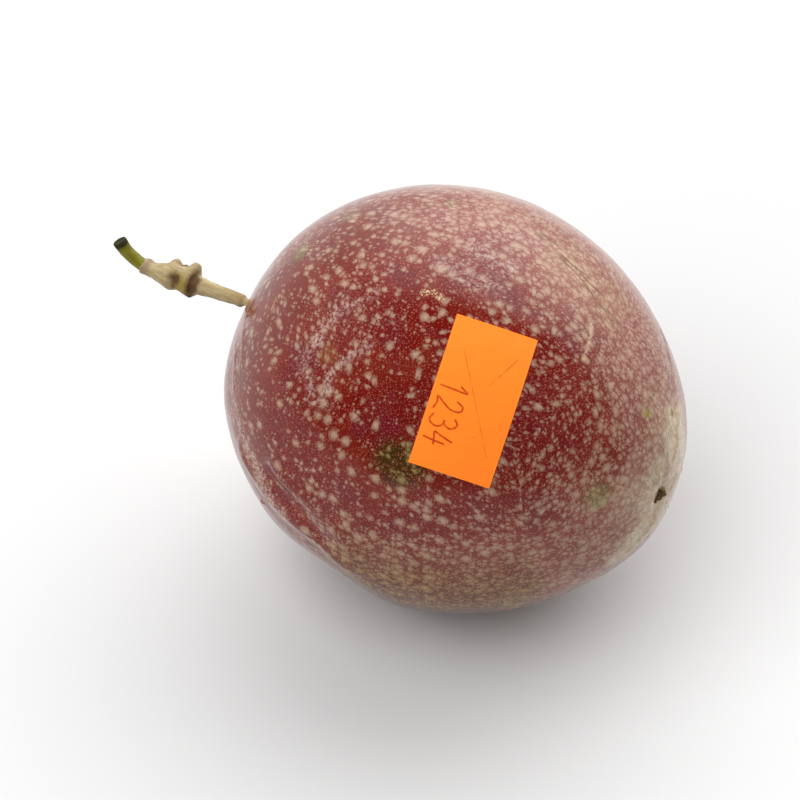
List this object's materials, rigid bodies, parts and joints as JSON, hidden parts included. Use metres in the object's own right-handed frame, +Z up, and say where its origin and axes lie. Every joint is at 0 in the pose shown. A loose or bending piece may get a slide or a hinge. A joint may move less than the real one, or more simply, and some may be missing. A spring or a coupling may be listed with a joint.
{
  "type": "passion fruit",
  "caption": "Round purple passion fruit lying on its side, with a dry knotted stalk ending in a curved green stub and a small rectangular price sticker.",
  "frame": {"origin": "on the flat spot that the fruit rests on, straight under the middle of the fruit", "axes": "+X along the fruit's long axis from the stalk end to the blossom end, +Z up"},
  "size_m": [0.0999, 0.0644, 0.0634],
  "materials": {
    "fruit_skin": "waxy deep red rind with soft beige speckles that run together towards the blossom end and the underside",
    "dry_stalk": "dry straw-coloured stalk with brown hollows around the knot",
    "green_stalk": "fresh olive-green stalk with a dark cut end",
    "dry_style": "dry dark brown and olive remnant",
    "label_paper": "matt bright orange paper with a few faint creases and thin handwritten digits"
  },
  "bodies": {
    "root": {"fruit": "fruit_skin", "dry_stalk": "dry_stalk", "green_stalk": "green_stalk", "style_remnant": "dry_style", "price_label": "label_paper"}
  },
  "joints": []
}
